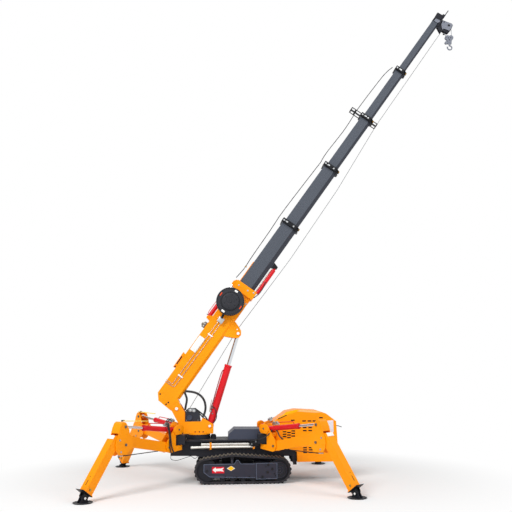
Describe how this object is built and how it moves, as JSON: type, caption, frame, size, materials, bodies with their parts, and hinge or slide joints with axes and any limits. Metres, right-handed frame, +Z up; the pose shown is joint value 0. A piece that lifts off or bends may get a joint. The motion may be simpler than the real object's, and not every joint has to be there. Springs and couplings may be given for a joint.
{
  "type": "tracked spider crane",
  "caption": "Compact tracked crane standing on four swing-out legs, with a slewing column, luffing main arm, knuckle and raised telescopic boom.",
  "frame": {"origin": "on the ground at the slewing axis", "axes": "+X towards the engine end, -X towards the front, +Y towards the machine's right-hand side, +Z up"},
  "size_m": [7.0532, 4.2528, 9.3913],
  "materials": {
    "orange": "satin",
    "dark_frame": "satin",
    "grey_boom": "satin",
    "red": "gloss",
    "chrome": "polished",
    "aluminium": "satin",
    "steel": "worn",
    "track_rubber": "matt"
  },
  "bodies": {
    "chassis": {"chassis": "dark_frame", "tool_box": "dark_frame", "side_bars": "aluminium", "bar_straps": "orange", "canopy": "orange", "engine": "dark_frame", "track_left": "track_rubber", "track_right": "track_rubber", "track_wheels_left": "steel", "track_wheels_right": "steel", "track_frame_left": "dark_frame", "track_frame_right": "dark_frame"},
    "turntable": {"column": "orange", "winch": "dark_frame"},
    "main_arm": {"main_arm": "orange", "knuckle_lug": "orange", "hose_reel": "dark_frame"},
    "luff_barrel": {"luff_barrel": "red"},
    "luff_rod": {"luff_rod": "chrome"},
    "boom_base": {"cradle": "orange", "boom_section_1": "grey_boom", "extension_cylinder": "red"},
    "knuckle_barrel": {"knuckle_barrel": "red"},
    "knuckle_rod": {"knuckle_rod": "chrome"},
    "boom_section_2": {"boom_section_2": "grey_boom"},
    "boom_section_3": {"boom_section_3": "grey_boom"},
    "boom_section_4": {"boom_section_4": "grey_boom"},
    "boom_section_5": {"boom_section_5": "grey_boom", "boom_head": "grey_boom"},
    "hook_block": {"hook_block": "grey_boom"},
    "outrigger_bracket_front_left": {"outrigger_bracket_front_left": "orange"},
    "outrigger_arm_front_left": {"outrigger_arm_front_left": "orange"},
    "outrigger_leg_front_left": {"outrigger_leg_front_left": "orange"},
    "outrigger_pad_front_left": {"outrigger_pad_front_left": "dark_frame"},
    "outrigger_front_left_barrel": {"outrigger_barrel_front_left": "red"},
    "outrigger_front_left_rod": {"outrigger_rod_front_left": "chrome"},
    "outrigger_bracket_front_right": {"outrigger_bracket_front_right": "orange"},
    "outrigger_arm_front_right": {"outrigger_arm_front_right": "orange"},
    "outrigger_leg_front_right": {"outrigger_leg_front_right": "orange"},
    "outrigger_pad_front_right": {"outrigger_pad_front_right": "dark_frame"},
    "outrigger_front_right_barrel": {"outrigger_barrel_front_right": "red"},
    "outrigger_front_right_rod": {"outrigger_rod_front_right": "chrome"},
    "outrigger_bracket_rear_left": {"outrigger_bracket_rear_left": "orange"},
    "outrigger_arm_rear_left": {"outrigger_arm_rear_left": "orange"},
    "outrigger_leg_rear_left": {"outrigger_leg_rear_left": "orange"},
    "outrigger_pad_rear_left": {"outrigger_pad_rear_left": "dark_frame"},
    "outrigger_rear_left_barrel": {"outrigger_barrel_rear_left": "red"},
    "outrigger_rear_left_rod": {"outrigger_rod_rear_left": "chrome"},
    "outrigger_bracket_rear_right": {"outrigger_bracket_rear_right": "orange"},
    "outrigger_arm_rear_right": {"outrigger_arm_rear_right": "orange"},
    "outrigger_leg_rear_right": {"outrigger_leg_rear_right": "orange"},
    "outrigger_pad_rear_right": {"outrigger_pad_rear_right": "dark_frame"},
    "outrigger_rear_right_barrel": {"outrigger_barrel_rear_right": "red"},
    "outrigger_rear_right_rod": {"outrigger_rod_rear_right": "chrome"}
  },
  "joints": [
    {"name": "slewing", "type": "hinge", "parent": "chassis", "child": "turntable", "pos_m": [0, 0, 0.811], "axis": [0, 0, 1], "continuous": true},
    {"name": "luffing", "type": "hinge", "parent": "turntable", "child": "main_arm", "pos_m": [-0.399, 0, 1.268], "axis": [0, -1, 0], "range_deg": [-45, 25]},
    {"name": "luff_pivot", "type": "hinge", "parent": "turntable", "child": "luff_barrel", "pos_m": [0.202, 0, 0.958], "axis": [0, -1, 0], "range_deg": [-45.5, 25.5]},
    {"name": "luff_stroke", "type": "slide", "parent": "luff_barrel", "child": "luff_rod", "axis": [0.2982, 0, 0.9545], "range_m": [-0.50777, 0.28298]},
    {"name": "knuckle", "type": "hinge", "parent": "main_arm", "child": "boom_base", "pos_m": [0.79268, 0, 3.16943], "axis": [0, 1, 0], "range_deg": [0, 70]},
    {"name": "knuckle_pivot", "type": "hinge", "parent": "main_arm", "child": "knuckle_barrel", "pos_m": [0.16719, 0, 2.94001], "axis": [0, 1, 0], "range_deg": [-0.5, 25.94]},
    {"name": "knuckle_stroke", "type": "slide", "parent": "knuckle_barrel", "child": "knuckle_rod", "axis": [0.5908, 0, 0.8068], "range_m": [-0.002, 0.32348]},
    {"name": "extension_2", "type": "slide", "parent": "boom_base", "child": "boom_section_2", "axis": [0.5807, 0, 0.8141], "range_m": [-1.05, 0]},
    {"name": "extension_3", "type": "slide", "parent": "boom_section_2", "child": "boom_section_3", "axis": [0.5807, 0, 0.8141], "range_m": [-1.05, 0]},
    {"name": "extension_4", "type": "slide", "parent": "boom_section_3", "child": "boom_section_4", "axis": [0.5807, 0, 0.8141], "range_m": [-1.05, 0]},
    {"name": "extension_5", "type": "slide", "parent": "boom_section_4", "child": "boom_section_5", "axis": [0.5807, 0, 0.8141], "range_m": [-1.05, 0]},
    {"name": "hook_swing", "type": "hinge", "parent": "boom_section_5", "child": "hook_block", "pos_m": [5.17019, 0, 9.05677], "axis": [0, 1, 0], "range_deg": [-115, 10]},
    {"name": "swing_front_left", "type": "hinge", "parent": "chassis", "child": "outrigger_bracket_front_left", "pos_m": [-0.375, -0.38, 0.748], "axis": [0, 0, 1], "range_deg": [-43.5, 18.5]},
    {"name": "lift_front_left", "type": "hinge", "parent": "outrigger_bracket_front_left", "child": "outrigger_arm_front_left", "pos_m": [-0.53374, -0.57957, 0.64], "axis": [-0.7826, 0.6225, 0], "range_deg": [-8, 45]},
    {"name": "outrigger_front_left_pivot", "type": "hinge", "parent": "outrigger_bracket_front_left", "child": "outrigger_front_left_barrel", "pos_m": [-0.38434, -0.39174, 0.915], "axis": [-0.7826, 0.6225, 0], "range_deg": [-7.77, 41.4]},
    {"name": "outrigger_front_left_stroke", "type": "slide", "parent": "outrigger_front_left_barrel", "child": "outrigger_front_left_rod", "axis": [-0.6189, -0.7781, 0.1075], "range_m": [-0.26435, 0.04864]},
    {"name": "fold_front_left", "type": "hinge", "parent": "outrigger_arm_front_left", "child": "outrigger_leg_front_left", "pos_m": [-1.17991, -1.39191, 0.775], "axis": [0.7826, -0.6225, 0], "range_deg": [0, 102]},
    {"name": "pad_tilt_front_left", "type": "hinge", "parent": "outrigger_leg_front_left", "child": "outrigger_pad_front_left", "pos_m": [-1.64486, -1.97643, 0.07], "axis": [-0.7826, 0.6225, 0], "range_deg": [-15, 15]},
    {"name": "swing_front_right", "type": "hinge", "parent": "chassis", "child": "outrigger_bracket_front_right", "pos_m": [-0.375, 0.38, 0.748], "axis": [0, 0, -1], "range_deg": [-43.5, 18.5]},
    {"name": "lift_front_right", "type": "hinge", "parent": "outrigger_bracket_front_right", "child": "outrigger_arm_front_right", "pos_m": [-0.53374, 0.57957, 0.64], "axis": [0.7826, 0.6225, 0], "range_deg": [-8, 45]},
    {"name": "outrigger_front_right_pivot", "type": "hinge", "parent": "outrigger_bracket_front_right", "child": "outrigger_front_right_barrel", "pos_m": [-0.38434, 0.39174, 0.915], "axis": [0.7826, 0.6225, 0], "range_deg": [-7.77, 41.4]},
    {"name": "outrigger_front_right_stroke", "type": "slide", "parent": "outrigger_front_right_barrel", "child": "outrigger_front_right_rod", "axis": [-0.6189, 0.7781, 0.1075], "range_m": [-0.26435, 0.04864]},
    {"name": "fold_front_right", "type": "hinge", "parent": "outrigger_arm_front_right", "child": "outrigger_leg_front_right", "pos_m": [-1.17991, 1.39191, 0.775], "axis": [-0.7826, -0.6225, 0], "range_deg": [0, 102]},
    {"name": "pad_tilt_front_right", "type": "hinge", "parent": "outrigger_leg_front_right", "child": "outrigger_pad_front_right", "pos_m": [-1.64486, 1.97643, 0.07], "axis": [0.7826, 0.6225, 0], "range_deg": [-15, 15]},
    {"name": "swing_rear_left", "type": "hinge", "parent": "chassis", "child": "outrigger_bracket_rear_left", "pos_m": [1.205, -0.38, 0.748], "axis": [0, 0, -1], "range_deg": [-43.5, 18.5]},
    {"name": "lift_rear_left", "type": "hinge", "parent": "outrigger_bracket_rear_left", "child": "outrigger_arm_rear_left", "pos_m": [1.36374, -0.57957, 0.64], "axis": [-0.7826, -0.6225, 0], "range_deg": [-8, 45]},
    {"name": "outrigger_rear_left_pivot", "type": "hinge", "parent": "outrigger_bracket_rear_left", "child": "outrigger_rear_left_barrel", "pos_m": [1.21434, -0.39174, 0.915], "axis": [-0.7826, -0.6225, 0], "range_deg": [-7.77, 41.4]},
    {"name": "outrigger_rear_left_stroke", "type": "slide", "parent": "outrigger_rear_left_barrel", "child": "outrigger_rear_left_rod", "axis": [0.6189, -0.7781, 0.1075], "range_m": [-0.26435, 0.04864]},
    {"name": "fold_rear_left", "type": "hinge", "parent": "outrigger_arm_rear_left", "child": "outrigger_leg_rear_left", "pos_m": [2.00991, -1.39191, 0.775], "axis": [0.7826, 0.6225, 0], "range_deg": [0, 102]},
    {"name": "pad_tilt_rear_left", "type": "hinge", "parent": "outrigger_leg_rear_left", "child": "outrigger_pad_rear_left", "pos_m": [2.47486, -1.97643, 0.07], "axis": [-0.7826, -0.6225, 0], "range_deg": [-15, 15]},
    {"name": "swing_rear_right", "type": "hinge", "parent": "chassis", "child": "outrigger_bracket_rear_right", "pos_m": [1.205, 0.38, 0.748], "axis": [0, 0, 1], "range_deg": [-43.5, 18.5]},
    {"name": "lift_rear_right", "type": "hinge", "parent": "outrigger_bracket_rear_right", "child": "outrigger_arm_rear_right", "pos_m": [1.36374, 0.57957, 0.64], "axis": [0.7826, -0.6225, 0], "range_deg": [-8, 45]},
    {"name": "outrigger_rear_right_pivot", "type": "hinge", "parent": "outrigger_bracket_rear_right", "child": "outrigger_rear_right_barrel", "pos_m": [1.21434, 0.39174, 0.915], "axis": [0.7826, -0.6225, 0], "range_deg": [-7.77, 41.4]},
    {"name": "outrigger_rear_right_stroke", "type": "slide", "parent": "outrigger_rear_right_barrel", "child": "outrigger_rear_right_rod", "axis": [0.6189, 0.7781, 0.1075], "range_m": [-0.26435, 0.04864]},
    {"name": "fold_rear_right", "type": "hinge", "parent": "outrigger_arm_rear_right", "child": "outrigger_leg_rear_right", "pos_m": [2.00991, 1.39191, 0.775], "axis": [-0.7826, 0.6225, 0], "range_deg": [0, 102]},
    {"name": "pad_tilt_rear_right", "type": "hinge", "parent": "outrigger_leg_rear_right", "child": "outrigger_pad_rear_right", "pos_m": [2.47486, 1.97643, 0.07], "axis": [0.7826, -0.6225, 0], "range_deg": [-15, 15]}
  ],
  "couplings": [
    {"joint": "luff_pivot", "follows": "luffing", "ratio": 1.0001},
    {"joint": "luff_stroke", "follows": "luffing", "m_per_rad": 0.64397},
    {"joint": "knuckle_pivot", "follows": "knuckle", "ratio": 0.36344},
    {"joint": "knuckle_stroke", "follows": "knuckle", "m_per_rad": 0.26313},
    {"joint": "extension_3", "follows": "extension_2", "ratio": 1},
    {"joint": "extension_4", "follows": "extension_2", "ratio": 1},
    {"joint": "extension_5", "follows": "extension_2", "ratio": 1},
    {"joint": "outrigger_front_left_pivot", "follows": "lift_front_left", "ratio": 0.90884},
    {"joint": "outrigger_front_left_stroke", "follows": "lift_front_left", "m_per_rad": -0.33404},
    {"joint": "outrigger_front_right_pivot", "follows": "lift_front_right", "ratio": 0.90884},
    {"joint": "outrigger_front_right_stroke", "follows": "lift_front_right", "m_per_rad": -0.33404},
    {"joint": "outrigger_rear_left_pivot", "follows": "lift_rear_left", "ratio": 0.90884},
    {"joint": "outrigger_rear_left_stroke", "follows": "lift_rear_left", "m_per_rad": -0.33404},
    {"joint": "outrigger_rear_right_pivot", "follows": "lift_rear_right", "ratio": 0.90884},
    {"joint": "outrigger_rear_right_stroke", "follows": "lift_rear_right", "m_per_rad": -0.33404}
  ]
}
